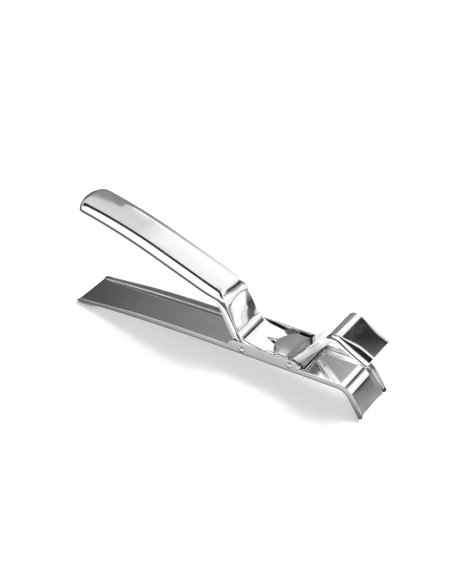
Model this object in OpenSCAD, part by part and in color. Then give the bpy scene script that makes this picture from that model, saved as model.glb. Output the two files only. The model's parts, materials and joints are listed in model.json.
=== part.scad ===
// Spring-loaded hot pan gripper in sheet steel: a lower channel with a turned-down lip, a bent
// squeeze handle and a swinging upper jaw on short side rivets, opened by a torsion spring.
// The part rests on its handle end and lip edge. X runs from handle to jaw, Z is up.

/* [Sheet] */
// thickness of the pressed sheet, mm
sheet_t = 1.0; // [0.8:0.1:1.2]
// outer width of the lower channel, mm
base_w = 29.4; // [28:0.2:32]
// corner radius along the lower channel, mm
base_r = 2.0; // [1.4:0.1:3]
// wall height of the lower channel over its underside, mm
base_wall = 4.6; // [4:0.1:5]

// wall height of the lower channel at the handle end, mm
tail_wall = 3.2; // [2.6:0.1:4.6]

/* [Lower channel] */
// rise of the underside at the handle end, deg
tail_rise = 8.0; // [7:0.1:9]
// rise of the underside past the bowed grip, deg
body_rise = 3.5; // [3:0.1:4]
// radius of the long bow of the grip, mm
tail_bow = 1350; // [1300:10:1400]
// straight length from the bow to the lip bend, mm
body_len = 79.5; // [78:0.1:81]
// turn of the lip bend, deg
lip_turn = 60.5; // [55:0.5:65]
// underside radius of the lip bend, mm
lip_bend_r = 8.0; // [6:0.1:10]
// straight length of the lip, mm
lip_len = 14.1; // [12:0.1:16]
// ear height over the underside, mm
ear_h = 8.9; // [8:0.1:10]
// corner radius of the ears, mm
ear_r = 4.2; // [3:0.1:4.4]
// ear start along the part, mm
ear_x0 = 113.4; // [111:0.1:115]
// ear end along the part, mm
ear_x1 = 160.9; // [159.5:0.1:162]

/* [Pivots] */
// handle rivet position along the part, mm
pin1_x = 122.7; // [122:0.1:124]
// handle rivet height, mm
pin1_z = 16.2; // [16:0.05:16.6]
// jaw rivet position along the part, mm
pin2_x = 154.5; // [154:0.1:155]
// jaw rivet height, mm
pin2_z = 19.0; // [18.8:0.05:19.2]
// rivet shank radius, mm
pin_r = 1.2; // [1:0.05:1.3]
// running clearance of the bores on the shanks, mm
bore_gap = 0.05; // [0.02:0.01:0.1]
// rivet head radius, mm
head_r = 2.25; // [2:0.05:3]
// rivet head height, mm
head_h = 1.0; // [0.8:0.1:1.4]
// radius of the handle lugs around the rivets, mm
lug1_r = 3.2; // [2.6:0.1:3.3]
// radius of the jaw lugs around the rivets, mm
lug2_r = 3.6; // [3:0.1:3.8]

/* [Handle] */
// outer half width of the grip, mm
grip_hw = 14.2; // [13.6:0.1:14.6]
// outer half width between the ears, mm
hinge_hw = 13.4; // [13:0.05:13.4]
// shoulder radius of the grip, mm
grip_r = 4.4; // [3:0.1:5]
// shoulder radius of the foot, mm
foot_edge_r = 2.2; // [1.6:0.1:3]
// depth of the handle channel, mm
grip_h = 4.6; // [4:0.1:5]
// position of the grip's free end, mm
grip_x = 2.8; // [2:0.1:5]
// height of the grip's free end, mm
grip_z = 73.4; // [72:0.1:75]
// fall of the grip at its free end, deg
grip_fall = 8.0; // [6:0.1:10]
// fall of the straight grip, deg
neck_fall = 18.0; // [17:0.1:19]
// fall of the steep neck, deg
steep_fall = 63.5; // [62:0.1:65]
// bow radius of the grip, mm
grip_bow = 344; // [330:1:360]
// outer radius of the neck bend, mm
neck_r = 15.0; // [12:0.1:18]
// straight neck length, mm
neck_run = 16.6; // [15:0.1:18]
// length of the rounded free end, mm
end_len = 6.5; // [5:0.5:9]
// length over which the free end rolls down, mm
end_roll = 3.4; // [3:0.1:5]
// how far the free end rolls down, mm
end_fall = 1.5; // [1.5:0.1:2.8]
// radius of the foot bend, mm
foot_r = 10.0; // [8:0.1:11]
// height of the foot's flat top, mm
foot_z = 18.65; // [18.5:0.05:18.8]
// position where the nose starts to turn down, mm
nose_x = 139.25; // [138:0.05:141]
// outer radius of the turned-down nose, rib included, mm
nose_r = 9.0; // [8:0.1:10]
// slope of the foot down to the nose, deg
foot_fall = 5.5; // [0:0.5:7]
// turn of the nose, deg
nose_turn = 54; // [40:1:55]
// half width of the nose between the jaw flanges, mm
nose_hw = 11.2; // [10:0.1:11.4]
// height of the raised contact rib, mm
rib_h = 0.45; // [0.4:0.05:0.7]
// half width of the contact rib, mm
rib_hw = 2.8; // [2:0.1:4]
// position of the rib's point, mm
rib_x = 129.8; // [128:0.1:132]

/* [Jaw] */
// outer half width between the ears, mm
heel_hw = 13.3; // [13:0.05:13.4]
// outer half width of the gripping plate, mm
front_hw = 14.4; // [13.8:0.1:14.6]
// shoulder radius of the ramp, mm
jaw_r = 2.8; // [2:0.1:3.2]
// depth of the ramp flanges, mm
jaw_h = 4.5; // [4:0.1:4.6]
// depth of the front plate's edges at its tip, mm
jaw_tip_h = 3.2; // [1.5:0.1:3.6]
// tongue tip position along the part, mm
tongue_x = 137.6; // [137:0.1:139]
// height of the tongue tip, mm
tongue_z = 20.45; // [20.4:0.05:20.8]
// tongue length to the heel bend, mm
tongue_run = 12.7; // [12:0.1:13]
// rise of the tongue, deg
tongue_rise = 1.5; // [1:0.1:2]
// plan radius of the tongue end, mm
tongue_r = 16.0; // [14:0.5:20]
// radius of the heel bend, mm
heel_r = 6.0; // [5:0.1:7]
// rise of the ramp, deg
ramp_rise = 50.0; // [48:0.5:52]
// straight ramp length, mm
ramp_run = 32.6; // [30:0.1:36]
// outer radius of the crest, mm
crest_r = 8.0; // [4.8:0.1:9]
// fall of the gripping plate, deg
front_fall = 25.0; // [22:0.5:28]
// length of the gripping plate, mm
front_run = 20.6; // [19:0.1:24]

/* [Spring] */
// spring rod position along the part, mm
rod_x = 159.4; // [159:0.1:160]
// spring rod height, mm
rod_z = 17.5; // [17.3:0.05:17.8]
// spring rod radius, mm
rod_r = 0.8; // [0.6:0.05:0.9]
// wire radius, mm
wire_r = 0.42; // [0.4:0.05:0.5]
// mean coil radius, mm
coil_r = 1.85; // [1.7:0.05:1.9]
// number of turns
coil_turns = 17; // [16:1:21]
// pitch of the coil, mm
coil_pitch = 1.2; // [1:0.01:1.2]

/* [Hidden] */
$fn = 48;
t = sheet_t;
x_mid = 101.57;
corner_steps = 4;
ear_y = base_w / 2;
dome_r = (head_r * head_r + head_h * head_h) / (2 * head_h);

// ---------- paths: [kind, size, turn], kind 0 straight, 1 bends up, -1 bends down ----------
function leg_len(s) = s[0] == 0 ? s[1] : s[1] * s[2] * PI / 180;
// pose [x, z, heading] after going d along one leg from pose p
function step(s, p, d) =
    let (a = s[0] == 0 ? 0 : d / s[1] * 180 / PI, h = p[2])
    s[0] == 0 ? [p[0] + d * cos(h), p[1] + d * sin(h), h]
    : s[0] > 0 ? [p[0] + s[1] * (sin(h + a) - sin(h)), p[1] + s[1] * (cos(h) - cos(h + a)), h + a]
    : [p[0] + s[1] * (sin(h) - sin(h - a)), p[1] + s[1] * (cos(h - a) - cos(h)), h - a];
function along(path, start, d, i = 0) =
    i == len(path) - 1 || d <= leg_len(path[i]) ? step(path[i], start, d)
    : along(path, step(path[i], start, leg_len(path[i])), d - leg_len(path[i]), i + 1);
function upto(path, n) = n == 0 ? 0 : leg_len(path[n - 1]) + upto(path, n - 1);
// distance along the path at which each leg is cut into its share of stations
function stations(path, cuts) = concat([0], [for (i = [0 : len(path) - 1], k = [1 : cuts[i]])
    upto(path, i) + leg_len(path[i]) * k / cuts[i]]);
function smooth(a, b, v) = let (u = max(0, min(1, (v - a) / (b - a)))) u * u * (3 - 2 * u);
function mix(a, b, u) = a + (b - a) * u;

// ---------- section loop of a channel: x across, y away from the outer face ----------
function corner(cx, cy, r, a, b) =
    [for (k = [0 : corner_steps]) let (q = mix(a, b, k / corner_steps))
        [cx + r * cos(q), cy + r * sin(q)]];
// angle on a corner of radius r at height v over its lowest point
function lift(r, v) = asin(max(0, 1 - v / r));
function half_section(hw, r, h) =
    let (w = min(t, 0.3 * hw), q = max(0.15, min(r - w, 0.3 * hw)),
        a = lift(r, min(r, h - 0.12)), b = lift(q, min(q, (h - t) * 0.6)),
        ox = hw - r + r * cos(lift(r, h)), ix = hw - w - q + q * cos(lift(q, h - t)))
    [concat(corner(hw - r, r, r, 270, 360 - a), [[ox, h]]),
        concat([[min(ix, ox - 0.05), h]], corner(hw - w - q, t + q, q, 360 - b, 270))];
function mirrored(s) = [for (k = [len(s) - 1 : -1 : 0]) [-s[k][0], s[k][1]]];
function channel(hw, r, h) = let (s = half_section(hw, r, h))
    concat(mirrored(s[0]), s[0], s[1], mirrored(s[1]));
// 3D ring: up = 1 walls rise above the path, -1 flanges hang below it
function ring(p, sec, up) = [for (q = sec)
    [p[0] - up * q[1] * sin(p[2]), q[0], p[1] + up * q[1] * cos(p[2])]];
module skin(rings, up) {
    n = len(rings[0]);
    m = len(rings);
    pts = [for (r = rings, q = r) q];
    side = [for (i = [0 : m - 2], k = [0 : n - 1]) let (a = i * n + k, b = i * n + (k + 1) % n)
        each [[a, b, b + n], [a, b + n, a + n]]];
    z = (m - 1) * n;
    caps = [for (k = [0 : n / 2 - 2]) let (c = n - 1 - k)
        each [[k + 1, k, c], [k + 1, c, c - 1], [z + k, z + k + 1, z + c],
            [z + k + 1, z + c - 1, z + c]]];
    faces = concat(side, caps);
    polyhedron(pts, up > 0 ? [for (f = faces) [for (k = [len(f) - 1 : -1 : 0]) f[k]]] : faces,
        convexity = 8);
}
module cross_bore(x, z, r, half) {
    translate([x, 0, z]) rotate([90, 0, 0]) cylinder(r = r, h = 2 * half, center = true);
}
// depth at which a lug circle round (x, z) closes below the path pose p, or d if it doesn't
function lug_depth(p, x, z, r, d) =
    let (vx = x - p[0], vz = z - p[1], n = vx * sin(p[2]) - vz * cos(p[2]),
        o = vx * cos(p[2]) + vz * sin(p[2]))
    abs(o) < r && n > 0 ? max(d, n + sqrt(r * r - o * o)) : d;

// ---------- lower channel ----------
base_path = [[-1, tail_bow, tail_rise - body_rise], [0, body_len, 0],
    [-1, lip_bend_r, lip_turn], [0, lip_len, 0]];
base_start = [0.5, 0, tail_rise];
base_total = upto(base_path, 4);
function ear_lift(x) =
    let (a = x - ear_x0, b = ear_x1 - x, c = min(a, b))
    c <= 0 ? 0 : c >= ear_r ? 1 : sqrt(1 - pow(1 - c / ear_r, 2));
function base_h(d, x) =
    let (e = min(d, base_total - d), v = mix(tail_wall, base_wall, smooth(6, 52, d)),
        w = v - 1.6 * pow(max(0, 1 - e / 3), 2))
    max(w, mix(base_wall, ear_h, ear_lift(x)) * (ear_lift(x) > 0 ? 1 : 0));
base_steps = concat([0, 1, 2, 3], [for (k = [1 : 9]) 3 + k * 11],
    [for (x = [0 : 0.7 : 5.6]) 106.1 + 6.9 + x], [for (k = [1 : 5]) 118.7 + k * 6.2],
    [for (x = [0 : 0.8 : 6.4]) 154.6 + x], [165, 174],
    [for (k = [0 : 9]) upto(base_path, 2) + leg_len(base_path[2]) * k / 9],
    [base_total - 7, base_total - 3, base_total - 2, base_total - 1, base_total]);
module base_channel() {
    color([0.80, 0.81, 0.83]) translate([-x_mid, 0, 0]) difference() {
        skin([for (d = base_steps) let (p = along(base_path, base_start, d))
            ring(p, channel(ear_y, min(base_r, base_h(d, p[0]) * 0.8), base_h(d, p[0])), 1)], 1);
        cross_bore(pin1_x, pin1_z, pin_r, base_w);
        cross_bore(pin2_x, pin2_z, pin_r, base_w);
        cross_bore(rod_x, rod_z, rod_r, base_w);
    }
}

// ---------- squeeze handle ----------
grip_bow_turn = neck_fall - grip_fall;
bow_end = step([-1, grip_bow, grip_bow_turn], [grip_x, grip_z, -grip_fall],
    grip_bow * grip_bow_turn * PI / 180);
// the straight run is as long as a level foot would need
bend_dx = neck_r * (sin(steep_fall) - sin(neck_fall));
bend_dz = neck_r * (cos(neck_fall) - cos(steep_fall));
grip_run = (bow_end[1] - bend_dz - neck_run * sin(steep_fall) - foot_z
    - foot_r * (1 - cos(steep_fall))) / sin(neck_fall);
// neck and foot close the triangle between the neck bend and the nose
nose_at = step([-1, nose_r - rib_h, foot_fall], [nose_x, foot_z, 0],
    (nose_r - rib_h) * foot_fall * PI / 180);
reach = nose_at[0] - bow_end[0] - grip_run * cos(neck_fall) - bend_dx
    - foot_r * (sin(steep_fall) - sin(foot_fall));
fall = bow_end[1] - grip_run * sin(neck_fall) - bend_dz
    - foot_r * (cos(foot_fall) - cos(steep_fall)) - nose_at[1];
spread = sin(steep_fall - foot_fall);
neck_len = (fall * cos(foot_fall) - reach * sin(foot_fall)) / spread;
foot_len = (reach * sin(steep_fall) - fall * cos(steep_fall)) / spread;
grip_path = [[-1, grip_bow, grip_bow_turn], [0, grip_run, 0],
    [-1, neck_r, steep_fall - neck_fall], [0, neck_len, 0], [1, foot_r, steep_fall - foot_fall],
    [0, foot_len, 0], [-1, nose_r - rib_h, nose_turn - foot_fall]];
grip_start = [grip_x, grip_z, -grip_fall];
grip_total = upto(grip_path, 7);
// plan half width near the rounded free end, and how far that end is rolled down
function end_hw(d, hw) = d >= end_len ? hw
    : max(2.5, hw * pow(1 - pow(1 - max(0, d) / end_len, 2), 0.385));
function end_drop(d) = d >= end_roll ? 0
    : end_fall * (1 - sqrt(1 - pow(1 - d / end_roll, 2)));
function grip_half(d, x) = min(end_hw(d, grip_hw),
    mix(grip_hw, hinge_hw, smooth(96, 108, x)),
    d > upto(grip_path, 5) ? mix(hinge_hw, nose_hw, smooth(135.6, 138.4, x)) : 99);
function grip_depth(d, p) =
    let (x = p[0], g = mix(end_fall + t + 0.2, grip_h, smooth(0, 6, d)),
        e = d > upto(grip_path, 4) ? mix(grip_h, t + 0.12, smooth(127, 136, x)) : grip_h)
    lug_depth(p, pin1_x, pin1_z, lug1_r, min(g, e));
grip_steps = concat([0, 0.15, 0.5, 1.1, 1.9, 2.8, 3.8, 5, 6.5, 8, 10, 12.5],
    [for (k = [1 : 3]) 12.5 + k * 12], [for (k = [0 : 3]) upto(grip_path, 1) + grip_run * k / 4],
    [for (k = [0 : 6]) upto(grip_path, 2) + leg_len(grip_path[2]) * k / 6],
    [for (k = [1 : 3]) upto(grip_path, 3) + neck_len * k / 3],
    [for (k = [1 : 10]) upto(grip_path, 4) + leg_len(grip_path[4]) * k / 10],
    [for (k = [1 : 10]) upto(grip_path, 5) + leg_len(grip_path[5]) * k / 10],
    [for (k = [1 : 8]) upto(grip_path, 6) + leg_len(grip_path[6]) * k / 8]);
function grip_edge(x) = mix(grip_r, foot_edge_r, smooth(98, 116, x));
rib_from = upto(grip_path, 6) - (nose_x - rib_x);
function rib_ring(d) = let (p = along(grip_path, grip_start, d),
        w = rib_hw * max(0.06, min(1, (d - rib_from) / 6)))
    ring(p, [[-w, -rib_h * 0.5], [-w * 0.6, -rib_h], [w * 0.6, -rib_h], [w, -rib_h * 0.5],
        [w, t / 2], [w * 0.6, t / 2], [-w * 0.6, t / 2], [-w, t / 2]], -1);
module handle_lever() {
    color([0.84, 0.85, 0.87]) translate([-x_mid, 0, 0]) difference() {
        union() {
            skin([for (d = grip_steps) let (p = along(grip_path, grip_start, d),
                hw = grip_half(d, p[0]), f = end_drop(d), h = grip_depth(d, p) - f)
                ring(p, [for (q = channel(hw, min(grip_edge(p[0]), hw * 0.6), h))
                    [q[0], q[1] + f]], -1)], -1);
            skin([for (d = concat([rib_from, rib_from + 6], [for (k = [0 : 8])
                upto(grip_path, 6) + leg_len(grip_path[6]) * k / 8])) rib_ring(d)], -1);
        }
        cross_bore(pin1_x, pin1_z, pin_r + bore_gap, base_w);
    }
}

// ---------- upper jaw ----------
jaw_path = [[0, tongue_run, 0], [1, heel_r, ramp_rise - tongue_rise], [0, ramp_run, 0],
    [-1, crest_r, ramp_rise + front_fall], [0, front_run, 0]];
jaw_start = [tongue_x, tongue_z, tongue_rise];
jaw_total = upto(jaw_path, 5);
jaw_heel = upto(jaw_path, 2);
function jaw_half(d) = min(heel_hw + (front_hw - heel_hw) * smooth(jaw_heel + 14, jaw_heel + 28, d),
    sqrt(max(4, tongue_r * tongue_r - pow(max(0, tongue_r - d), 2))));
function jaw_depth(d, p) =
    let (a = mix(t + 0.12, jaw_h * 0.75, smooth(5.6, 9, d)),
        b = mix(a, jaw_h, smooth(9, jaw_heel, d)),
        e = jaw_total - d, f = front_run,
        g = e > f ? 99 : mix(jaw_tip_h, jaw_h, smooth(0, f, e)))
    lug_depth(p, pin2_x, pin2_z, lug2_r, min(b, g));
function jaw_edge(d, hw) = min(hw * 0.6,
    mix(jaw_r, 3.2, smooth(jaw_total - front_run - 4, jaw_total - 8, d)));
jaw_steps = concat([0, 0.3, 1, 2, 3.2, 4.4, 5.6, 6.4, 7.3, 8.2, 9.2, 10.4, 11.6],
    [for (k = [0 : 11]) upto(jaw_path, 1) + leg_len(jaw_path[1]) * k / 11],
    [for (k = [1 : 9]) upto(jaw_path, 2) + ramp_run * k / 9],
    [for (k = [1 : 9]) upto(jaw_path, 3) + leg_len(jaw_path[3]) * k / 9],
    [for (k = [1 : 9]) upto(jaw_path, 4) + front_run * k / 9]);
module upper_jaw() {
    rod_d = norm([rod_x - pin2_x, rod_z - pin2_z]);
    color([0.82, 0.83, 0.85]) translate([-x_mid, 0, 0]) difference() {
        skin([for (d = jaw_steps) let (p = along(jaw_path, jaw_start, d), hw = jaw_half(d))
            ring(p, channel(hw, jaw_edge(d, hw), jaw_depth(d, p)), -1)], -1);
        cross_bore(pin2_x, pin2_z, pin_r + bore_gap, base_w);
        // the flanges are relieved where they swing past the spring rod
        translate([pin2_x, 0, pin2_z]) rotate([90, 0, 0]) difference() {
            cylinder(r = rod_d + rod_r + 0.5, h = 2 * base_w, center = true);
            cylinder(r = rod_d - rod_r - 0.5, h = 3 * base_w, center = true);
            rotate(33) translate([-20, 0, -50]) cube([40, 20, 100]);
            rotate(-60) translate([-40, -20, -50]) cube([40, 40, 100]);
        }
    }
}

// ---------- rivets: the shank runs from the head through the ear into the flange ----------
module side_rivet(x, z, side, inner) {
    translate([x - x_mid, side * ear_y, z]) rotate([-90 * side, 0, 0]) union() {
        translate([0, 0, -(ear_y - inner)]) cylinder(r = pin_r, h = ear_y - inner + 0.3);
        intersection() {
            cylinder(r = head_r, h = head_h);
            translate([0, 0, head_h - dome_r]) sphere(dome_r, $fn = 64);
        }
    }
}
module handle_rivet_left() {
    color([0.72, 0.73, 0.75]) side_rivet(pin1_x, pin1_z, -1, hinge_hw - t);
}
module handle_rivet_right() {
    color([0.72, 0.73, 0.75]) side_rivet(pin1_x, pin1_z, 1, hinge_hw - t);
}
module jaw_rivet_left() {
    color([0.72, 0.73, 0.75]) side_rivet(pin2_x, pin2_z, -1, heel_hw - t);
}
module jaw_rivet_right() {
    color([0.72, 0.73, 0.75]) side_rivet(pin2_x, pin2_z, 1, heel_hw - t);
}

// ---------- spring ----------
module spring_rod() {
    color([0.60, 0.61, 0.64]) cross_bore(rod_x - x_mid, rod_z, rod_r, ear_y + 0.35);
}
wire_n = 10;
wire_k = 6;
coil_half = coil_turns * coil_pitch / 2;
// one leg leaves the coil's underside along the floor and turns across it; the other leans
// up against the ramp
floor_leg = 2.9;
leg_bend_r = 0.9;
ramp_leg = 10.4;
turn_a = 270;
turn_b = 20;
turn_end = turn_a + coil_turns * 360 - (turn_a - turn_b);
function coil_pt(q) = [rod_x - coil_r * cos(q), -coil_half + (q - turn_a) / 360 * coil_pitch,
    rod_z + coil_r * sin(q)];
foot_pt = coil_pt(turn_a) + floor_leg * [1, 0, 0.04];
foot_bend = foot_pt + leg_bend_r * [-1, 1, 0];
wire_line = concat([foot_pt + [0, coil_half + 1, 0]],
    [for (a = [0 : 22.5 : 90]) foot_bend + leg_bend_r * [cos(a), -sin(a), 0]],
    [for (q = [turn_a : 360 / wire_n : turn_end]) coil_pt(q)],
    [coil_pt(turn_end) + ramp_leg * [sin(turn_b), 0, cos(turn_b)]]);
function wire_ring(i) =
    let (n = len(wire_line), a = wire_line[max(0, i - 1)], b = wire_line[min(n - 1, i + 1)],
        v = b - a, l = norm([v[0], v[2]]), c = wire_line[i],
        w = l < 0.3 * norm(v) ? [0, 0, 1] : [v[2], 0, -v[0]] / l,
        s = cross(v, w) / norm(v))
    [for (k = [0 : wire_k - 1]) let (q = 360 * k / wire_k)
        c + wire_r * (sin(q) * w + cos(q) * s)];
module torsion_spring() {
    color([0.65, 0.66, 0.69]) translate([-x_mid, 0, 0])
        skin([for (i = [0 : len(wire_line) - 1]) wire_ring(i)], 1);
}

base_channel();
handle_lever();
upper_jaw();
handle_rivet_left();
handle_rivet_right();
jaw_rivet_left();
jaw_rivet_right();
spring_rod();
torsion_spring();
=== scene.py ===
import json
import math

import bmesh
import bpy
from mathutils import Matrix, Vector

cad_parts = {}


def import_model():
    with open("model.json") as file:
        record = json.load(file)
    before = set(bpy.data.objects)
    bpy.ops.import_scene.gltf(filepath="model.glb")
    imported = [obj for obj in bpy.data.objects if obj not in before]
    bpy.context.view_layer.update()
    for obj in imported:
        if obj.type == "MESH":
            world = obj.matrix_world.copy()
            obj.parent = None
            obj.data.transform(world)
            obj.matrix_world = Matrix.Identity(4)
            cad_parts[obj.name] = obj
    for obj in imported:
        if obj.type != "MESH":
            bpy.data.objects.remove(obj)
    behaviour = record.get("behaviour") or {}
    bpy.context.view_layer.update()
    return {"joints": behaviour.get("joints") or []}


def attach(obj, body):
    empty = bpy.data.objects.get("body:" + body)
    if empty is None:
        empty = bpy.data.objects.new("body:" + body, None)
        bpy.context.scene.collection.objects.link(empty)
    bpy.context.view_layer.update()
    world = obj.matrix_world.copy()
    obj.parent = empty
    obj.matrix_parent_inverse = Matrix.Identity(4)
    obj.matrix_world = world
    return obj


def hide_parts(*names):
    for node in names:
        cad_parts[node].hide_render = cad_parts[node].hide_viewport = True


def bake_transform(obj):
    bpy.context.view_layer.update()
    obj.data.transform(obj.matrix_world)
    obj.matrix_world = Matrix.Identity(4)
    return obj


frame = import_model()

# ---------------------------------------------------------------- driving sizes, millimetres
MM = 0.001
SHEET = 1.0
EDGE_ROUND = 0.4
RIM_STEPS = 6
FLAT_STEPS, BEND_STEPS, WALL_STEPS = 60, 40, 12
TINY = 1e-6
JOINT = {j["name"]: j for j in frame["joints"]}
PIN1_X = 122.7
X_MID = PIN1_X - JOINT["handle_pivot"]["pos_m"][0] / MM
PIN1_Z = JOINT["handle_pivot"]["pos_m"][2] / MM
PIN2_X = JOINT["jaw_pivot"]["pos_m"][0] / MM + X_MID
PIN2_Z = JOINT["jaw_pivot"]["pos_m"][2] / MM
PIN_R = 1.2
HEAD_R = 2.25
HEAD_H = 1.0
LUG1_R, LUG2_R = 3.2, 3.6

BASE_HALF = 14.7
BASE_R = 2.0
BASE_WALL = 4.6
TAIL_WALL = 3.2
EAR_H = 8.9
EAR_R = 4.2
EAR_X0 = 113.4
EAR_X1 = 160.9
WALL_TAPER = (6, 52)
TAIL_TRIM, TAIL_TRIM_RUN = 1.6, 3
BASE_CROWN = 0.06

GRIP_HALF = 14.2
HINGE_HALF = 13.4
GRIP_DEPTH = 4.6
NOSE_HALF = 11.2
NOSE_X = 139.25
RIB_H = 0.45
RIB_HALF = 2.8
RIB_X = 129.8
END_LEN, END_ROLL, END_FALL = 6.5, 3.4, 1.5
GRIP_RX, GRIP_RZ, FOOT_EDGE_R = 6.2, 3.9, 2.2
GRIP_CROWN = 0.25
# where along x the grip narrows, its shoulders sharpen, its flanges fade and the nose narrows
WAIST, SHOULDER, FADE, NOSE_TAPER = (96, 108), (98, 116), (127, 136), (135.6, 138.4)
FADED_WALL = SHEET + 0.12
RIB_RUN, RIB_RAMP = 6.5, 1.2
# pressed dents: distance past the neck bend's end, across, reach, depth
NECK_DENTS = [(5.5, 3.0, 12.0, 0.55), (-6.0, -2.0, 11.0, -0.18)]

HEEL_HALF = 13.3
FRONT_HALF = 14.4
JAW_R = 2.8
JAW_DEPTH = 4.5
TONGUE_R = 16.0
FRONT_RUN = 20.6
JAW_TIP_H, JAW_TIP_RX = 3.2, 8.0
JAW_CROWN = 0.05
# where along the jaw's path the tongue's flanges begin and are full, and the plate widens
TONGUE_FLANGE, JAW_FLARE = (5.6, 9), (14, 28)
# the rod's relief: clearance, first angle, its span in degrees, steps, half its length
RELIEF_GAP, RELIEF_FROM, RELIEF_SPAN, RELIEF_STEPS, RELIEF_HALF = 0.5, -75, 108, 32, 20.0

ROD_X = 159.4
ROD_Z = 17.5
ROD_R = 0.8
WIRE_R = 0.42
COIL_R = 1.85
COIL_TURNS = 17
COIL_PITCH = 1.2
COIL_START = 270
LEG_BEND_R = 0.9
UPPER_LEG, UPPER_LEAN = 10.4, math.radians(20)


# ---------------------------------------------------------------- placing
def placed(x, y, z):
    """Sizes along the part, in millimetres, as a point of the frame, in metres."""
    return ((x - X_MID) * MM, y * MM, z * MM)


def linked(name, data):
    obj = bpy.data.objects.new(name, data)
    bpy.context.scene.collection.objects.link(obj)
    return obj


# ---------------------------------------------------------------- paths
def leg_length(leg):
    kind, size, turn = leg
    return size if kind == 0 else size * math.radians(turn)


def step(leg, pose, d):
    """The pose [x, z, heading in degrees] after going d along one leg."""
    kind, size, _ = leg
    x, z, h = pose
    if kind == 0:
        return (x + d * math.cos(math.radians(h)), z + d * math.sin(math.radians(h)), h)
    turned = h + kind * math.degrees(d / size)
    a, b = math.radians(h), math.radians(turned)
    return (x + kind * size * (math.sin(b) - math.sin(a)),
            z + kind * size * (math.cos(a) - math.cos(b)), turned)


def along(path, start, d):
    """The pose after going d along the whole path."""
    pose = start
    for i, leg in enumerate(path):
        n = leg_length(leg)
        if d <= n or i == len(path) - 1:
            return step(leg, pose, d)
        pose = step(leg, pose, n)
        d -= n


def upto(path, count):
    """The length of a path's first legs."""
    return sum(leg_length(leg) for leg in path[:count])


def smooth(a, b, v):
    u = max(0.0, min(1.0, (v - a) / (b - a)))
    return u * u * (3 - 2 * u)


def mix(a, b, u):
    return a + (b - a) * u


def stations(path, coarse, fine, spots):
    """Distances along a path: coarse steps, finer ones near each (centre, reach) spot and in bends."""
    total = upto(path, len(path))
    marks = [0.0]
    edges = [upto(path, i) for i in range(len(path) + 1)]
    while marks[-1] < total - TINY:
        d = marks[-1]
        leg = path[min(len(path) - 1, sum(1 for e in edges[1:] if e <= d + TINY))]
        size = coarse if leg[0] == 0 else min(coarse, leg[1] * math.radians(4))
        for centre, reach in spots:
            if abs(d - centre) < reach:
                size = min(size, fine)
        end_gap = min(d, total - d)
        if end_gap < EDGE_ROUND:
            size = min(size, EDGE_ROUND / 4)
        following = min([e for e in edges if e > d + TINY] + [total])
        if d < total - EDGE_ROUND - TINY:
            following = min(following, total - EDGE_ROUND)
        nxt = min(d + size, following)
        if following - nxt < size * 0.3:
            nxt = following
        marks.append(min(nxt, total))
    return marks


def lug_depth(pose, x, z, r, depth):
    """Depth below the path at which a lug circle round (x, z) closes."""
    h = math.radians(pose[2])
    vx, vz = x - pose[0], z - pose[1]
    below = vx * math.sin(h) - vz * math.cos(h)
    off = vx * math.cos(h) + vz * math.sin(h)
    if abs(off) < r and below > 0:
        return max(depth, below + math.sqrt(r * r - off * off))
    return depth


# ---------------------------------------------------------------- sheet sections
def half_profile(hw, rx, rz, depth, crown, bump):
    """Outer face of one side of a channel, centre to tip, as a dense list of (across, down)."""
    rx = min(rx, hw * 0.6)
    end = math.acos(max(0.0, 1 - (depth - crown) / rz)) if depth - crown < rz else math.pi / 2
    flat = hw - rx
    pts = []
    for k in range(FLAT_STEPS):
        u = flat * k / FLAT_STEPS
        pts.append((u, crown * (u / hw) ** 2 - bump(u)))
    for k in range(BEND_STEPS + 1):
        a = end * k / BEND_STEPS
        u = flat + rx * math.sin(a)
        pts.append((u, crown * (min(u, flat + rx) / hw) ** 2 + rz * (1 - math.cos(a))))
    low = pts[-1][1]
    if depth > low + 0.02:
        for k in range(1, WALL_STEPS + 1):
            pts.append((hw, low + (depth - low) * k / WALL_STEPS))
    return pts


def resample(pts, marks):
    """Points and unit tangents at the given lengths along a polyline."""
    lengths = [0.0]
    for a, b in zip(pts, pts[1:]):
        lengths.append(lengths[-1] + math.hypot(b[0] - a[0], b[1] - a[1]))
    out = []
    i = 0
    for s in marks:
        s = min(max(s, 0.0), lengths[-1])
        while i < len(pts) - 2 and lengths[i + 1] < s:
            i += 1
        a, b = pts[i], pts[i + 1]
        f = (s - lengths[i]) / max(1e-9, lengths[i + 1] - lengths[i])
        lo, hi = max(0, i - 1), min(len(pts) - 1, i + 2)
        tx, ty = pts[hi][0] - pts[lo][0], pts[hi][1] - pts[lo][1]
        n = math.hypot(tx, ty)
        out.append((mix(a[0], b[0], f), mix(a[1], b[1], f), tx / n, ty / n))
    return out


def total_length(pts):
    return sum(math.hypot(b[0] - a[0], b[1] - a[1]) for a, b in zip(pts, pts[1:]))


def rounded_rim(end, shrink, deep):
    """The free edge of the sheet, from its outer face round to its inner one."""
    u, v, tx, ty = end
    r = EDGE_ROUND - shrink * 0.8
    turns = [math.pi / 2 * k / RIM_STEPS for k in range(1, RIM_STEPS + 1)]
    spots = [(r * math.sin(a), shrink + r * (1 - math.cos(a))) for a in turns]
    spots += [(r * math.sin(a), deep - r * (1 - math.cos(a))) for a in reversed(turns)]
    return [(u + tx * fwd - ty * into, v + ty * fwd + tx * into) for fwd, into in spots]


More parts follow.
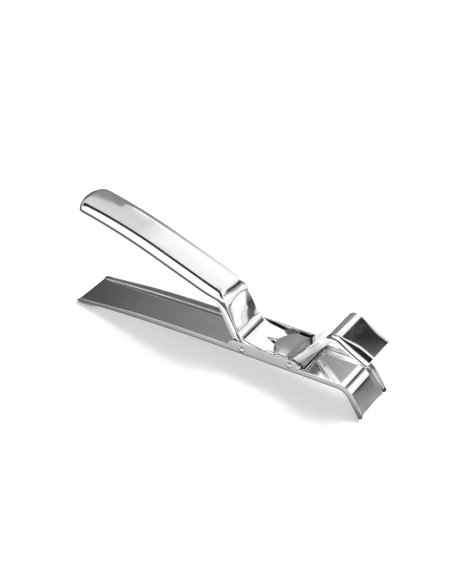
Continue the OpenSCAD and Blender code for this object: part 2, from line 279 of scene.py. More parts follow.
def section(hw, rx, rz, depth, crown, bump, drop, shrink, inner_count, outer_count, core):
    """Closed loop round a bent sheet: outer face left to right, then the inner face back."""
    prof = [(u, v + drop) for u, v in half_profile(hw, rx, rz, depth - drop, crown, bump)]
    reach = total_length(prof) - EDGE_ROUND
    core_end = min(core, reach * 0.3)
    marks = [core_end * k / inner_count for k in range(inner_count)]
    marks += [mix(core_end, reach, k / outer_count) for k in range(outer_count + 1)]
    face = resample(prof, marks)
    outer = [(u - ty * shrink, v + tx * shrink) for u, v, tx, ty in face]
    deep = SHEET - shrink
    inner = [(max(0.0, u - ty * deep), v + tx * deep) for u, v, tx, ty in face]
    right = outer + rounded_rim(face[-1], shrink, deep)
    loop = [(-a, b) for a, b in reversed(right[1:])] + right
    back = list(reversed(inner))
    loop += back + [(-a, b) for a, b in reversed(back[:-1])]
    return loop


def cap_rings(n):
    """Faces that close an end of the loop made by section(), n points from centre to tip."""
    tip = 2 * RIM_STEPS
    centre = n - 1 + tip
    first_back = centre + n - 1 + tip + 1
    back_centre = first_back + n - 1
    rings = []
    for k in range(-(n - 1), n - 1):
        rings.append((centre + k, centre + k + 1, back_centre - k - 1, back_centre - k))
    rings.append(tuple(range(centre + n - 1, first_back + 1)))
    size = 2 * (n + tip) - 1 + 2 * n - 1
    rings.append(tuple(range(0, tip + 1)) + (size - 1,))
    return rings


def bent_sheet(name, path, start, side, marks, shape, counts=(6, 26, 3.0)):
    """One pressed sheet swept along a path. shape(d, pose) gives the section's sizes."""
    total = upto(path, len(path))
    verts, faces = [], []
    size = 0
    for d in marks:
        pose = along(path, start, d)
        e = min(d, total - d, EDGE_ROUND)
        shrink = EDGE_ROUND - math.sqrt(max(0.0, EDGE_ROUND ** 2 - (EDGE_ROUND - e) ** 2))
        loop = section(*shape(d, pose), shrink, counts[0], counts[1], counts[2])
        size = len(loop)
        h = math.radians(pose[2])
        for u, v in loop:
            verts.append(placed(pose[0] - side * v * math.sin(h), u, pose[1] + side * v * math.cos(h)))
    rows = len(marks)
    for i in range(rows - 1):
        for k in range(size):
            a, b = i * size + k, i * size + (k + 1) % size
            faces.append((a, b, b + size, a + size))
    for base in (0, (rows - 1) * size):
        faces += [tuple(base + k for k in ring) for ring in cap_rings(sum(counts[:2]) + 1)]
    mesh = bpy.data.meshes.new(name)
    mesh.from_pydata(verts, [], faces)
    obj = linked(name, mesh)
    tidy_mesh(obj)
    return obj


def tidy_mesh(obj, sharp=38):
    """Weld the mesh, turn its faces outward and shade it smooth up to an angle."""
    bm = bmesh.new()
    bm.from_mesh(obj.data)
    bmesh.ops.remove_doubles(bm, verts=bm.verts, dist=2e-6)
    bmesh.ops.recalc_face_normals(bm, faces=bm.faces)
    bm.to_mesh(obj.data)
    bm.free()
    obj.data.shade_smooth()
    obj.data.set_sharp_from_angle(angle=math.radians(sharp))


# ---------------------------------------------------------------- lower channel
TAIL_BOW, TAIL_TURN, BODY_LEN = 1350.0, 4.5, 79.5
LIP_R, LIP_TURN, LIP_LEN = 8.0, 60.5, 14.1
BASE_PATH = [(-1, TAIL_BOW, TAIL_TURN), (0, BODY_LEN, 0), (-1, LIP_R, LIP_TURN), (0, LIP_LEN, 0)]
BASE_START = (0.5, 0.0, 8.0)


def ear_lift(x):
    """How far the wall has risen toward an ear's full height, from 0 to 1."""
    c = min(x - EAR_X0, EAR_X1 - x)
    if c <= 0:
        return 0.0
    return 1.0 if c >= EAR_R else math.sqrt(1 - (1 - c / EAR_R) ** 2)


def base_height(d, x):
    e = min(d, upto(BASE_PATH, 4) - d)
    trim = TAIL_TRIM * max(0.0, 1 - e / TAIL_TRIM_RUN) ** 2
    wall = mix(TAIL_WALL, BASE_WALL, smooth(*WALL_TAPER, d)) - trim
    lift = ear_lift(x)
    return max(wall, mix(BASE_WALL, EAR_H, lift)) if lift > 0 else wall


def base_shape(d, pose):
    h = base_height(d, pose[0])
    return (BASE_HALF, BASE_R, min(BASE_R, h * 0.8), h, BASE_CROWN, lambda u: 0.0, 0.0)


def base_channel():
    spots = [(EAR_X0 + 2.5, 4.5), (EAR_X1 - 1.5, 4.5)]
    marks = stations(BASE_PATH, 2.5, 0.12, spots)
    counts = (14, 22, 12.0)
    return bent_sheet("base_channel_sheet", BASE_PATH, BASE_START, 1, marks, base_shape, counts)


# ---------------------------------------------------------------- squeeze handle
GRIP_BOW, GRIP_FALL, NECK_FALL, STEEP = 344.0, 8.0, 18.0, 63.5
NECK_R, NECK_RUN, FOOT_R, FOOT_Z = 15.0, 16.6, 10.0, 18.65
NOSE_R, NOSE_TURN = 9.0, 54.0
FOOT_FALL = 5.5
GRIP_START = (2.8, 73.4, -GRIP_FALL)


def grip_legs():
    """The handle's path: bow, straight grip, neck bend, neck, foot bend, foot and turned-down nose."""
    deg = math.radians
    bow = (-1, GRIP_BOW, NECK_FALL - GRIP_FALL)
    bow_end = step(bow, GRIP_START, leg_length(bow))
    nose_r = NOSE_R - RIB_H
    nose = step((-1, nose_r, FOOT_FALL), (NOSE_X, FOOT_Z, 0.0), nose_r * deg(FOOT_FALL))
    rise_x = FOOT_R * (math.sin(deg(STEEP)) - math.sin(deg(FOOT_FALL)))
    rise_z = FOOT_R * (math.cos(deg(FOOT_FALL)) - math.cos(deg(STEEP)))
    foot_top = FOOT_Z + FOOT_R * (1 - math.cos(deg(STEEP)))
    turned_z = NECK_R * (math.cos(deg(NECK_FALL)) - math.cos(deg(STEEP)))
    grip_fall = bow_end[1] - turned_z - NECK_RUN * math.sin(deg(STEEP)) - foot_top
    run = grip_fall / math.sin(deg(NECK_FALL))
    # the neck's and the foot's lengths close the gap between the neck bend and the nose
    turned_x = NECK_R * (math.sin(deg(STEEP)) - math.sin(deg(NECK_FALL)))
    reach = nose[0] - bow_end[0] - run * math.cos(deg(NECK_FALL)) - turned_x - rise_x
    fall = bow_end[1] - run * math.sin(deg(NECK_FALL)) - turned_z - rise_z - nose[1]
    spread = math.sin(deg(STEEP - FOOT_FALL))
    neck = (fall * math.cos(deg(FOOT_FALL)) - reach * math.sin(deg(FOOT_FALL))) / spread
    foot = (reach * math.sin(deg(STEEP)) - fall * math.cos(deg(STEEP))) / spread
    return [bow, (0, run, 0), (-1, NECK_R, STEEP - NECK_FALL), (0, neck, 0),
            (1, FOOT_R, STEEP - FOOT_FALL), (0, foot, 0), (-1, nose_r, NOSE_TURN - FOOT_FALL)]


GRIP_PATH = grip_legs()


def end_half(d, hw):
    """Half width near the rounded free end."""
    if d >= END_LEN:
        return hw
    return max(2.0, hw * (1 - (1 - max(0.0, d) / END_LEN) ** 2) ** 0.385)


def end_drop(d):
    """How far the rolled-down free end lies below the path."""
    if d >= END_ROLL:
        return 0.0
    return END_FALL * (1 - math.sqrt(1 - (1 - d / END_ROLL) ** 2))


def grip_shape(d, pose):
    x = pose[0]
    hw = min(end_half(d, GRIP_HALF), mix(GRIP_HALF, HINGE_HALF, smooth(*WAIST, x)))
    if d > upto(GRIP_PATH, 5):
        hw = min(hw, mix(HINGE_HALF, NOSE_HALF, smooth(*NOSE_TAPER, x)))
    tip_depth = mix(end_drop(0) + SHEET + 0.2, GRIP_DEPTH, smooth(0.0, 6, d))
    fade = GRIP_DEPTH
    if d > upto(GRIP_PATH, 4):
        fade = mix(GRIP_DEPTH, FADED_WALL, smooth(*FADE, x))
    depth = lug_depth(pose, PIN1_X, PIN1_Z, LUG1_R, min(tip_depth, fade))
    shoulder = smooth(*SHOULDER, x)
    rx, rz = mix(GRIP_RX, FOOT_EDGE_R, shoulder), mix(GRIP_RZ, FOOT_EDGE_R, shoulder)
    rz = min(rz, 1.2 + tip_depth - end_drop(d))
    rib_from = upto(GRIP_PATH, 6) - (NOSE_X - RIB_X)
    wide = RIB_HALF * min(1.0, (d - rib_from) / RIB_RUN)

    def bump(u):
        if wide <= 0.02 or u > wide:
            return 0.0
        return RIB_H * min(1.0, wide / RIB_RAMP) * (0.5 + 0.5 * math.cos(math.pi * (u / wide) ** 1.6))

    crown = GRIP_CROWN * (1 - shoulder) * min(1.0, hw / GRIP_HALF)
    return (hw, rx, rz, depth, crown, bump, end_drop(d))


def press_dent(obj, along_path, across, reach, depth):
    """A shallow smooth hollow, or a swelling where depth is negative, that the press leaves."""
    pose = along(GRIP_PATH, GRIP_START, along_path)
    h = math.radians(pose[2])
    centre = Vector(placed(pose[0], across, pose[1]))
    normal = Vector((-math.sin(h), 0, math.cos(h)))
    for v in obj.data.vertices:
        r = (v.co - centre).length / (reach * MM)
        if r < 1:
            v.co -= normal * depth * MM * (1 - r * r) ** 2


def handle_lever():
    rib = upto(GRIP_PATH, 6) - (NOSE_X - RIB_X)
    spots = [(0.3, 1.0), (4.0, 4.5), (rib + 3, 4.0), (upto(GRIP_PATH, 5) + 2, 6.0)]
    marks = stations(GRIP_PATH, 2.5, 0.3, spots)
    obj = bent_sheet("handle_sheet", GRIP_PATH, GRIP_START, -1, marks, grip_shape, (12, 34, 3.4))
    neck = upto(GRIP_PATH, 3)
    for past, across, reach, depth in NECK_DENTS:
        press_dent(obj, neck + past, across, reach, depth)
    return obj


# ---------------------------------------------------------------- upper jaw
JAW_PATH = [(0, 12.7, 0), (1, 6.0, 48.5), (0, 32.6, 0), (-1, 8.0, 75.0), (0, FRONT_RUN, 0)]
JAW_START = (137.6, 20.45, 1.5)
JAW_TOTAL = upto(JAW_PATH, 5)
JAW_HEEL = upto(JAW_PATH, 2)


def jaw_depth(d, pose):
    a = mix(FADED_WALL, JAW_DEPTH * 0.75, smooth(*TONGUE_FLANGE, d))
    b = mix(a, JAW_DEPTH, smooth(TONGUE_FLANGE[1], JAW_HEEL, d))
    e = JAW_TOTAL - d
    if e <= FRONT_RUN:
        b = min(b, mix(JAW_TIP_H, JAW_DEPTH, smooth(0, FRONT_RUN, e)))
    return lug_depth(pose, PIN2_X, PIN2_Z, LUG2_R, b)


def jaw_shape(d, pose):
    hw = mix(HEEL_HALF, FRONT_HALF, smooth(JAW_HEEL + JAW_FLARE[0], JAW_HEEL + JAW_FLARE[1], d))
    tongue = TONGUE_R ** 2 - max(0.0, TONGUE_R - d) ** 2
    hw = min(hw, math.sqrt(max(4.0, tongue)))
    front = smooth(JAW_TOTAL - FRONT_RUN - 4, JAW_TOTAL - 8, d)
    rx, rz = mix(JAW_R, JAW_TIP_RX, front), mix(JAW_R, JAW_TIP_H, front)
    return (hw, rx, rz, jaw_depth(d, pose), JAW_CROWN, lambda u: 0.0, 0.0)


def solid(name, bm):
    """The object of a finished bmesh, its faces turned outward."""
    bmesh.ops.recalc_face_normals(bm, faces=bm.faces)
    mesh = bpy.data.meshes.new(name)
    bm.to_mesh(mesh)
    bm.free()
    return linked(name, mesh)


def rod_relief():
    """Ring sector round the jaw pivot that the spring rod sweeps through the flanges."""
    reach = math.hypot(ROD_X - PIN2_X, ROD_Z - PIN2_Z)
    r0, r1 = reach - ROD_R - RELIEF_GAP, reach + ROD_R + RELIEF_GAP
    bm = bmesh.new()
    rings = []
    steps = range(RELIEF_STEPS + 1)
    for y in (-RELIEF_HALF, RELIEF_HALF):
        pts = []
        for r, order in ((r0, steps), (r1, reversed(steps))):
            for k in order:
                a = math.radians(RELIEF_FROM + RELIEF_SPAN * k / RELIEF_STEPS)
                spot = placed(PIN2_X + r * math.cos(a), y, PIN2_Z + r * math.sin(a))
                pts.append(bm.verts.new(spot))
        rings.append(pts)
        bm.faces.new(pts)
    n = len(rings[0])
    for k in range(n):
        bm.faces.new((rings[0][k], rings[0][(k + 1) % n], rings[1][(k + 1) % n], rings[1][k]))
    return solid("rod_relief", bm)


def cut(obj, cutter):
    mod = obj.modifiers.new("cut", "BOOLEAN")
    mod.operation = "DIFFERENCE"
    mod.solver = "EXACT"
    mod.object = cutter
    apply_modifiers(obj)
    bpy.data.objects.remove(cutter)


def apply_modifiers(obj):
    graph = bpy.context.evaluated_depsgraph_get()
    graph.update()
    baked = bpy.data.meshes.new_from_object(obj.evaluated_get(graph))
    obj.modifiers.clear()
    obj.data = baked


def upper_jaw():
    marks = stations(JAW_PATH, 1.4, 0.25, [(1.5, 3.0), (7.5, 3.5), (JAW_TOTAL - 1.5, 2.0)])
    obj = bent_sheet("jaw_sheet", JAW_PATH, JAW_START, -1, marks, jaw_shape, (14, 22, 10.0))
    cut(obj, rod_relief())
    tidy_mesh(obj, 32)
    return obj


# ---------------------------------------------------------------- rivets, rod and spring
def tube(name, rings, sharp):
    """A solid skinned over rings of points, in millimetres, and closed at both ends."""
    bm = bmesh.new()
    loops = [[bm.verts.new(placed(*p)) for p in ring] for ring in rings]
    turns = len(loops[0])
    for a, b in zip(loops, loops[1:]):
        for k in range(turns):
            j = (k + 1) % turns
            bm.faces.new((a[k], a[j], b[j], b[k]))
    bm.faces.new(loops[0])
    bm.faces.new(loops[-1])
    obj = solid(name, bm)
    tidy_mesh(obj, sharp)
    return obj


def lathe(name, profile, x, z, side, turns=64):
    """A turned part on an axis along Y. profile lists (radius, height outward from Y = 0)."""
    angles = [2 * math.pi * k / turns for k in range(turns)]
    rings = [[(x + r * math.cos(a), side * y, z + r * math.sin(a)) for a in angles] for r, y in profile]
    return tube(name, rings, 50)


def rivet(name, x, z, side, inner):
    """Shank through ear and flange, upset inside, with a domed head that has a fine rim step."""
    face = BASE_HALF
    dome = (HEAD_R ** 2 + HEAD_H ** 2) / (2 * HEAD_H)
    profile = [(PIN_R * 0.55, inner + 0.06), (PIN_R * 0.85, inner + 0.09), (PIN_R, inner + 0.24),
               (PIN_R, face + 0.02), (HEAD_R - 0.12, face + 0.02), (HEAD_R, face + 0.1),
               (HEAD_R, face + 0.2)]
    for k in range(1, 13):
        r = (HEAD_R - 0.06) * math.cos(math.pi / 2 * k / 13)
        rise = math.sqrt(dome ** 2 - r ** 2) - (dome - HEAD_H)
        profile.append((r, face + max(0.22, rise)))
    profile.append((0.25, face + HEAD_H - 0.02))
    profile.append((0.06, face + HEAD_H - 0.03))
    return lathe(name, profile, x, z, side)


def spring_rod():
    end = BASE_HALF + 0.33
    profile = [(0.2, -end + 0.05), (ROD_R * 0.6, -end + 0.03), (ROD_R * 0.92, -end + 0.1),
               (ROD_R, -end + 0.24), (ROD_R, -BASE_HALF + 0.9), (ROD_R * 0.985, 0.0),
               (ROD_R, BASE_HALF - 0.9), (ROD_R, end - 0.24), (ROD_R * 0.92, end - 0.1),
               (ROD_R * 0.6, end - 0.03), (0.2, end - 0.05)]
    return lathe("spring_rod_pin", profile, ROD_X, ROD_Z, 1, 48)


def coil_point(q):
    """The coil's middle line at q degrees; it starts under the rod, at COIL_START."""
    half = COIL_TURNS * COIL_PITCH / 2
    across = -half + (q - COIL_START) / 360 * COIL_PITCH
    a = math.radians(q)
    return Vector((ROD_X - COIL_R * math.cos(a), across, ROD_Z + COIL_R * math.sin(a)))


def spring_line():
    """The wire's middle line: cross bar on the floor, bend, lower leg, coil, leg up the ramp."""
    half = COIL_TURNS * COIL_PITCH / 2
    foot = coil_point(COIL_START) + Vector((2.9, 0, 0.116))
    bend = LEG_BEND_R
    pts = [foot + Vector((0, half + 1 - k * (half + 1 - bend) / 8, 0)) for k in range(8)]
    for k in range(9):
        a = math.pi / 2 * k / 8
        pts.append(foot + bend * Vector((-1 + math.cos(a), 1 - math.sin(a), 0)))
    for k in range(1, 5):
        pts.append((foot - Vector((bend, 0, 0))).lerp(coil_point(COIL_START), k / 5))
    wound = COIL_TURNS * 360 - 250
    count = int(wound / 12)
    pts += [coil_point(COIL_START + wound * k / count) for k in range(count + 1)]
    lean = Vector((math.sin(UPPER_LEAN), 0, math.cos(UPPER_LEAN)))
    pts += [coil_point(COIL_START + wound) + lean * UPPER_LEG * k / 24 for k in range(1, 25)]
    return pts


def wire(name, pts, radius, sides=14):
    """A round wire along points; its section doesn't twist."""
    rings = []
    for i, p in enumerate(pts):
        t = (pts[min(len(pts) - 1, i + 1)] - pts[max(0, i - 1)]).normalized()
        flat = math.hypot(t.x, t.z)
        w = Vector((t.z / flat, 0, -t.x / flat)) if flat > 0.3 else Vector((0, 0, 1))
        s = t.cross(w)
        end = min(i, len(pts) - 1 - i)
        r = radius * (0.82 if end == 0 else 1.0)
        angles = [2 * math.pi * k / sides for k in range(sides)]
        rings.append([p + r * (math.sin(a) * w + math.cos(a) * s) for a in angles])
    return tube(name, rings, 60)


# ---------------------------------------------------------------- materials
def add(tree, kind, links=None, **values):
    """A shader node with its sockets set from values and linked from links."""
    made = tree.nodes.new(kind)
    for key, value in values.items():
        if key in made.inputs:
            made.inputs[key].default_value = value
        elif hasattr(made, key):
            setattr(made, key, value)
    for key, source in (links or {}).items():
        tree.links.new(source, made.inputs[key])
    return made


def new_material(name, metal=1.0):
    mat = bpy.data.materials.new(name)
    mat.use_nodes = True
    tree = mat.node_tree
    shader = tree.nodes["Principled BSDF"]
    shader.inputs["Metallic"].default_value = metal
    return mat, tree, shader


def two_tone(tree, source, dark, light, spread=(0.0, 1.0)):
    """A colour ramp from dark to light over a part of the source's range."""
    made = add(tree, "ShaderNodeValToRGB", {"Fac": source})
    for point, at, colour in zip(made.color_ramp.elements, spread, (dark, light)):
        point.position = at
        point.color = (*colour, 1)
    return made.outputs["Color"]


def stretched(tree, scale, turn=(0.0, 0.0, 0.0)):
    """Object coordinates in millimetres, turned and scaled per axis."""
    coords = add(tree, "ShaderNodeTexCoord")
    mapped = add(tree, "ShaderNodeMapping", {"Vector": coords.outputs["Object"]})
    mapped.inputs["Rotation"].default_value = turn
    mapped.inputs["Scale"].default_value = [1000 * v for v in scale]
    return mapped.outputs["Vector"]


def noise(tree, scale, detail=3.0, rough=0.55, turn=(0.0, 0.0, 0.0)):
    vec = stretched(tree, scale, turn)
    made = add(tree, "ShaderNodeTexNoise", {"Vector": vec}, Scale=1.0, Detail=detail, Roughness=rough)
    return made.outputs["Fac"]


def remap(tree, source, a, b, lo, hi):
    made = add(tree, "ShaderNodeMapRange", {"Value": source})
    made.inputs["From Min"].default_value = a
    made.inputs["From Max"].default_value = b
    made.inputs["To Min"].default_value = lo
    made.inputs["To Max"].default_value = hi
    return made.outputs["Result"]


def combine(tree, op, a, b):
    made = add(tree, "ShaderNodeMath", operation=op)
    tree.links.new(a, made.inputs[0])
    if isinstance(b, (int, float)):
        made.inputs[1].default_value = b
    else:
        tree.links.new(b, made.inputs[1])
    return made.outputs[0]


def hairlines(tree, spacing, long, turn, amount):
    """Sparse fine scratches: thin ridges of a stretched noise, broken up by a coarse one."""
    line = noise(tree, (1 / long, 1 / spacing, 1 / spacing), 1.0, 0.4, turn)
    thin = remap(tree, line, 0.66, 0.72, 0.0, amount)
    patch = remap(tree, noise(tree, (0.07, 0.09, 0.08), 1.0, 0.5, turn), 0.5, 0.62, 0.0, 1.0)
    return combine(tree, "MULTIPLY", thin, patch)


# near-black colour of the painted shade that darkens seams and hollows
PAINTED_SHADE = (0.01, 0.01, 0.01, 1)


def crevice_shade(tree, tone, reach):
    """Painted shade: darken the base colour in the seams where two pieces nearly touch, within reach,
    by their ambient occlusion.
    """
    near = add(tree, "ShaderNodeAmbientOcclusion", Distance=reach)
    near.samples = 8
    open_air = remap(tree, near.outputs["AO"], 0.3, 0.75, 0.06, 1.0)
    shade = add(tree, "ShaderNodeMixRGB", {"Fac": open_air, "Color2": tone}, Color1=PAINTED_SHADE)
    return shade.outputs[0]


def sheet_finish(name, smudge=0.06):
    """Mirror-polished pressed stainless: buffing lines, hairline scratches, faint hand smudges."""
    mat, tree, shader = new_material(name)
    buff = noise(tree, (0.05, 7.0, 7.0), 2.0, 0.5)
    cloud = noise(tree, (0.045, 0.06, 0.05), 4.0, 0.6, (0.2, 0.4, 0.7))
    fine = hairlines(tree, 0.22, 9.0, (0.0, 0.0, 0.35), 1.0)
    cross = hairlines(tree, 0.3, 6.0, (0.3, 0.2, 1.9), 0.8)
    scratch = combine(tree, "MAXIMUM", fine, cross)
    geometry = add(tree, "ShaderNodeNewGeometry")
    edge = remap(tree, geometry.outputs["Pointiness"], 0.505, 0.56, 0.0, 1.0)
    rough = remap(tree, cloud, 0.38, 0.66, 0.045, 0.045 + smudge)
    rough = combine(tree, "ADD", rough, remap(tree, buff, 0.3, 0.7, 0.0, 0.025))
    rough = combine(tree, "ADD", rough, remap(tree, scratch, 0.0, 1.0, 0.0, 0.16))
    rough = combine(tree, "ADD", rough, remap(tree, edge, 0.0, 1.0, 0.0, 0.07))
    tree.links.new(rough, shader.inputs["Roughness"])
    clean = combine(tree, "SUBTRACT", remap(tree, cloud, 0.35, 0.7, 0.0, 1.0), scratch)
    tone = two_tone(tree, clean, (0.86, 0.862, 0.866), (0.93, 0.931, 0.933))
    # base colour darkened in seams by painted shade
    tree.links.new(crevice_shade(tree, tone, 2.4 * MM), shader.inputs["Base Color"])
    height = combine(tree, "SUBTRACT", remap(tree, buff, 0.0, 1.0, 0.0, 0.25), scratch)
    bump = add(tree, "ShaderNodeBump", {"Height": height}, Strength=0.05, Distance=0.00002)
    warp = noise(tree, (0.09, 0.11, 0.1), 1.0, 0.4)
    wave = add(tree, "ShaderNodeBump", {"Height": warp, "Normal": bump.outputs["Normal"]},
               Strength=0.08, Distance=0.00025)
    tree.links.new(wave.outputs["Normal"], shader.inputs["Normal"])
    return mat


def rivet_finish(name):
    """Upset steel: hammered dimples under a worn satin polish."""
    mat, tree, shader = new_material(name)
    dents = add(tree, "ShaderNodeTexVoronoi", {"Vector": stretched(tree, (0.9, 0.9, 0.9))}, Scale=1.0)
    grain = noise(tree, (4.0, 4.0, 4.0), 3.0, 0.6)
    rough = remap(tree, grain, 0.3, 0.7, 0.07, 0.15)
    tree.links.new(rough, shader.inputs["Roughness"])
    tone = two_tone(tree, grain, (0.82, 0.82, 0.825), (0.93, 0.93, 0.93), (0.3, 0.7))
    # base colour darkened in seams by painted shade
    tree.links.new(crevice_shade(tree, tone, 1.2 * MM), shader.inputs["Base Color"])
    dent = add(tree, "ShaderNodeBump", {"Height": dents.outputs["Distance"]},
               Strength=0.2, Distance=0.0001)
    fine = add(tree, "ShaderNodeBump", {"Height": grain, "Normal": dent.outputs["Normal"]},
               Strength=0.15, Distance=0.00005)
    tree.links.new(fine.outputs["Normal"], shader.inputs["Normal"])
    return mat


def wire_finish(name):
    """Drawn spring wire: fine grain from the die and a faint cloudy tone."""
    mat, tree, shader = new_material(name)
    grain = noise(tree, (3.5, 1.2, 3.5), 3.0, 0.6)
    cloud = noise(tree, (0.25, 0.4, 0.3), 2.0, 0.5)
    tree.links.new(remap(tree, grain, 0.3, 0.7, 0.12, 0.24), shader.inputs["Roughness"])
    blotch = combine(tree, "MULTIPLY", grain, cloud)
    tone = two_tone(tree, blotch, (0.72, 0.725, 0.735), (0.9, 0.9, 0.9), (0.1, 0.45))
    # base colour darkened in seams by painted shade
    tree.links.new(crevice_shade(tree, tone, 0.8 * MM), shader.inputs["Base Color"])
    bump = add(tree, "ShaderNodeBump", {"Height": grain}, Strength=0.2, Distance=0.00006)
    tree.links.new(bump.outputs["Normal"], shader.inputs["Normal"])
    return mat


def dress(obj, mat):
    obj.data.materials.clear()
    obj.data.materials.append(mat)


# ---------------------------------------------------------------- camera, light, floor
VIEW_AZ, VIEW_EL, VIEW_ROLL = math.radians(33.11), math.radians(36.42), math.radians(0.41)
VIEW_DISTANCE = 0.7785
VIEW_TARGET = Vector((0.00053, 0.0, 0.0401))
SENSOR, FOCAL = 36.0, 82.48


def camera():
    back = Vector((math.sin(VIEW_AZ) * math.cos(VIEW_EL), -math.cos(VIEW_AZ) * math.cos(VIEW_EL),
                   math.sin(VIEW_EL)))
    right = Vector((math.cos(VIEW_AZ), math.sin(VIEW_AZ), 0))
    up = right.cross(-back)
    side = right * math.cos(VIEW_ROLL) + up * math.sin(VIEW_ROLL)
    data = bpy.data.cameras.new("view")
    data.sensor_width = SENSOR
    data.lens = FOCAL
    data.clip_start = 0.01
    obj = linked("view", data)
    basis = Matrix((side, back.cross(side), back)).transposed().to_4x4()
    obj.matrix_world = Matrix.Translation(VIEW_TARGET + VIEW_DISTANCE * back) @ basis
    bpy.context.scene.camera = obj


KEY_AT, KEY_AIM = (0.25, 0.55, 0.85), (0, 0, 0.03)
KEY_SIZE, KEY_POWER = (0.95, 0.75), 17
CARD_Y, CARD_LIFT = 0.35, 0.0012
# name, outline as (x, z), shades as (share of its length, brightness), axis of the shading
BACK_CARDS = [
    ("flag_back",
     [(-0.52, 0), (0.04, 0), (0.04, 0.345), (-0.185, 0.35), (-0.215, 0.43), (-0.52, 0.45)],
     [(0.10, 0.085), (0.26, 0.17), (0.45, 0.27), (0.63, 0.29), (0.68, 0.36), (0.75, 0.55),
      (0.82, 0.9), (1.0, 1.1)], "X"),
    ("flag_jaw", [(0.09, 0.13), (0.30, 0.13), (0.30, 0.43), (0.09, 0.43)],
     [(0.0, 1.0), (0.2, 1.0), (0.33, 0.55), (0.42, 0.03), (0.6, 0.02), (0.68, 0.1), (0.8, 0.4)], "X"),
    ("card_foot", [(-0.19, 0.352), (0.03, 0.352), (0.03, 0.405), (-0.19, 0.405)],
     [(0.0, 1.5), (1.0, 1.5)], "X"),
    ("flag_lip", [(0.425, 0.0), (0.56, 0.0), (0.56, 0.066), (0.425, 0.066)],
     [(0.0, 0.38), (0.3, 0.26), (0.55, 0.1), (0.7, 0.02), (1.0, 0.02)], "Z"),
]
# name, its sides in x, its sides in y, shades; these cards are painted floor shade that only the
# reflections see
FLOOR_CARDS = [
    ("floor_shade_front", (-0.20, 0.13), (-0.09, 0.02),
     [(0.0, 1.0), (0.27, 0.85), (0.45, 0.66), (0.55, 0.5), (0.62, 0.3), (0.68, 0.14), (0.73, 0.05)]),
    ("floor_shade_low", (0.062, 0.115), (0.0205, 0.10), [(0.0, 0.1), (0.7, 0.14), (1.0, 0.5)]),
    ("floor_shade_behind", (-0.06, 0.06), (0.0205, 0.09), [(0.0, 0.4), (0.25, 0.7), (0.55, 1.05)]),
]


def area_light(name, at, aim, size, power):
    data = bpy.data.lights.new(name, "AREA")
    data.shape = "RECTANGLE"
    data.size, data.size_y = size
    data.energy = power
    obj = linked(name, data)
    obj.location = at
    obj.rotation_euler = (Vector(aim) - Vector(at)).to_track_quat("-Z", "Y").to_euler()
    return obj


def flat_quad(name, corners):
    mesh = bpy.data.meshes.new(name)
    mesh.from_pydata([Vector(c) for c in corners], [], [tuple(range(len(corners)))])
    obj = linked(name, mesh)
    return obj


def floor():
    obj = flat_quad("floor", [(-3, -3, 0), (3, -3, 0), (3, 3, 0), (-3, 3, 0)])
    mat, tree, shader = new_material("floor_white", metal=0.0)
    grain = noise(tree, (0.2, 0.2, 0.2), 2.0)
    tone = two_tone(tree, grain, (0.90, 0.90, 0.90), (0.92, 0.92, 0.92))
    tree.links.new(tone, shader.inputs["Base Color"])
    shader.inputs["Roughness"].default_value = 0.9
    shader.inputs["Specular IOR Level"].default_value = 0.1
    dress(obj, mat)


def ramp_of(tree, source, stops):
    made = add(tree, "ShaderNodeValToRGB", {"Fac": source})
    points = made.color_ramp.elements
    while len(points) < len(stops):
        points.new(0.5)
    for point, (at, level) in zip(points, stops):
        point.position = at
        point.color = (level, level, level, 1)
    return made.outputs["Color"]


def card(name, corners, stops, axis="X"):
    """A studio card that only the metal's reflections see, shaded along one axis."""
    obj = flat_quad(name, corners)
    mat = bpy.data.materials.new(name)
    mat.use_nodes = True
    tree = mat.node_tree
    tree.nodes.clear()
    coords = add(tree, "ShaderNodeTexCoord")
    split = add(tree, "ShaderNodeSeparateXYZ", {"Vector": coords.outputs["Generated"]})
    shade = ramp_of(tree, split.outputs[axis], stops)
    path = add(tree, "ShaderNodeLightPath")
    # white for light that the floor has already scattered, so that it isn't dimmed
    bounce = remap(tree, path.outputs["Diffuse Depth"], 0.0, 1.0, 0.0, 1.0)
    lit = add(tree, "ShaderNodeMixRGB", {"Fac": bounce, "Color1": shade}, Color2=(1, 1, 1, 1))
    glow = add(tree, "ShaderNodeEmission", {"Color": lit.outputs[0]}, Strength=1.0)
    out = add(tree, "ShaderNodeOutputMaterial", {"Surface": glow.outputs["Emission"]})
    out.is_active_output = True
    dress(obj, mat)
    for seen in ("visible_camera", "visible_diffuse", "visible_shadow", "visible_transmission"):
        setattr(obj, seen, False)


def floor_card(name, x, y, stops):
    """A card just over the floor, from x[0] to x[1] and y[0] to y[1], shaded front to back, darkest
    near the part: painted floor shade that only the reflections see.
    """
    corners = [(x[0], y[0]), (x[1], y[0]), (x[1], y[1]), (x[0], y[1])]
    card(name, [(*spot, CARD_LIFT) for spot in corners], stops, "Y")


def back_card(name, outline, stops, axis="X"):
    """An upright card behind the part; its outline lists (x, z)."""
    card(name, [(x, CARD_Y, z) for x, z in outline], stops, axis)


# how bright the room behind is by the direction's height, left and right, and the room in front
ROOM_LEFT = [(0.0, 0.75), (0.05, 0.5), (0.14, 0.07), (0.60, 0.07), (0.655, 0.72), (0.775, 0.78),
             (0.785, 0.02), (0.93, 0.02), (0.95, 1.15)]
ROOM_RIGHT = [(0.0, 0.95), (0.045, 0.9), (0.06, 0.1), (0.09, 0.1), (0.105, 1.0), (0.5, 1.1),
              (0.775, 1.05), (0.785, 0.02), (0.93, 0.02), (0.95, 1.15)]
ROOM_FRONT = [(0.0, 0.35), (0.3, 0.12), (0.62, 0.16), (0.72, 1.15)]
PLAIN_SKY = (0.8, 0.8, 0.805, 1)


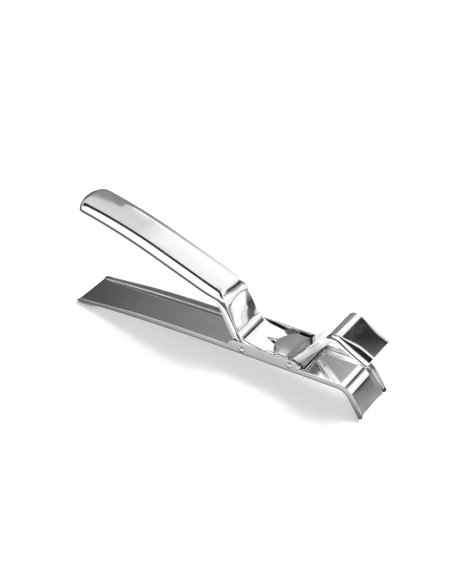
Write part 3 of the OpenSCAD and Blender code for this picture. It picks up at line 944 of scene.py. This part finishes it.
def world():
    """Plain soft white light; the metal reflects a room with dark bands and a white ceiling."""
    made = bpy.data.worlds.new("studio")
    made.use_nodes = True
    tree = made.node_tree
    tree.nodes.clear()
    coords = add(tree, "ShaderNodeTexCoord")
    split = add(tree, "ShaderNodeSeparateXYZ", {"Vector": coords.outputs["Generated"]})
    left = ramp_of(tree, split.outputs["Z"], ROOM_LEFT)
    right = ramp_of(tree, split.outputs["Z"], ROOM_RIGHT)
    turn = remap(tree, split.outputs["X"], -0.16, -0.08, 0.0, 1.0)
    behind = add(tree, "ShaderNodeMixRGB", {"Fac": turn, "Color1": left, "Color2": right}).outputs[0]
    front = ramp_of(tree, split.outputs["Z"], ROOM_FRONT)
    side = remap(tree, split.outputs["Y"], -0.08, 0.12, 0.0, 1.0)
    room = add(tree, "ShaderNodeMixRGB", {"Fac": side, "Color1": front, "Color2": behind})
    path = add(tree, "ShaderNodeLightPath")
    seen = add(tree, "ShaderNodeBackground", {"Color": room.outputs["Color"]}, Strength=1.0)
    plain = add(tree, "ShaderNodeBackground", Color=PLAIN_SKY, Strength=1.0)
    direct = remap(tree, path.outputs["Diffuse Depth"], 0.0, 1.0, 1.0, 0.0)
    mirror = combine(tree, "MULTIPLY", path.outputs["Is Glossy Ray"], direct)
    pick = add(tree, "ShaderNodeMixShader", {"Fac": mirror})
    tree.links.new(plain.outputs[0], pick.inputs[1])
    tree.links.new(seen.outputs[0], pick.inputs[2])
    add(tree, "ShaderNodeOutputWorld", {"Surface": pick.outputs[0]})
    bpy.context.scene.world = made


def studio():
    world()
    floor()
    key = area_light("key", KEY_AT, KEY_AIM, KEY_SIZE, KEY_POWER)
    key.visible_glossy = False
    for name, outline, stops, axis in BACK_CARDS:
        back_card(name, outline, stops, axis)
    # the floor cards are painted floor shade, seen only in reflections
    for name, x, y, stops in FLOOR_CARDS:
        floor_card(name, x, y, stops)
    bpy.context.scene.view_settings.view_transform = "Standard"


# ---------------------------------------------------------------- assembly
def place(obj, body, node, mat):
    dress(obj, mat)
    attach(obj, body)
    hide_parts(node)


def build():
    sheet = sheet_finish("polished_steel")
    steel = rivet_finish("rivet_steel")
    drawn = wire_finish("spring_wire")
    place(base_channel(), "base", "base_channel", sheet)
    place(handle_lever(), "handle", "handle_lever", sheet)
    place(upper_jaw(), "jaw", "upper_jaw", sheet)
    for name, x, z, inner in (("handle_rivet", PIN1_X, PIN1_Z, HINGE_HALF - SHEET),
                              ("jaw_rivet", PIN2_X, PIN2_Z, HEEL_HALF - SHEET)):
        for tag, side in (("left", -1), ("right", 1)):
            node = name + "_" + tag
            place(rivet(node + "_pin", x, z, side, inner), "base", node, steel)
    place(spring_rod(), "base", "spring_rod", steel)
    spring = wire("spring_coil", spring_line(), WIRE_R)
    dress(spring, drawn)
    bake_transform(spring)
    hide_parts("torsion_spring")


camera()
studio()
build()
